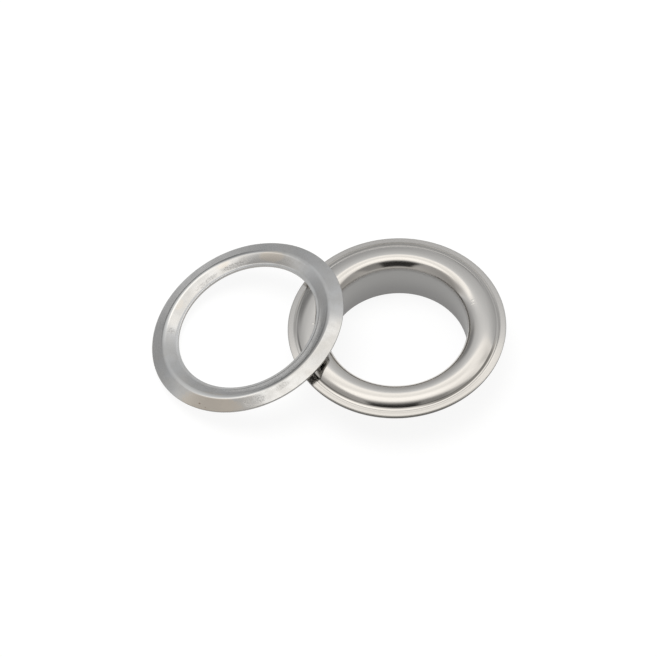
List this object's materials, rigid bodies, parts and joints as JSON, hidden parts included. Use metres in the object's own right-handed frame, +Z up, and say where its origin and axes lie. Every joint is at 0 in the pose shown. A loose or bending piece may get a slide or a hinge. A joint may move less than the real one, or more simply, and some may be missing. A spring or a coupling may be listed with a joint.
{
  "type": "grommet eyelet with washer",
  "caption": "Round flanged eyelet in bright nickel-plated sheet, standing on its barrel, with its ridged backing washer leaning on the domed flange.",
  "frame": {"origin": "on the eyelet's axis at the foot of its barrel, which stands on the floor", "axes": "+Z up along the bore, out of the flange, so the bore's and the barrel's mount axes point down, out of the barrel's foot; the washer lies on the -X side and leans on the flange"},
  "size_m": [0.0511, 0.0312, 0.0088],
  "materials": {
    "bright_nickel": "polished nickel plate, matte inside the barrel",
    "satin_nickel": "satin nickel plate with fine marks from stamping and tumbling"
  },
  "bodies": {
    "root": {"eyelet": "bright_nickel", "washer": "satin_nickel"}
  },
  "joints": []
}
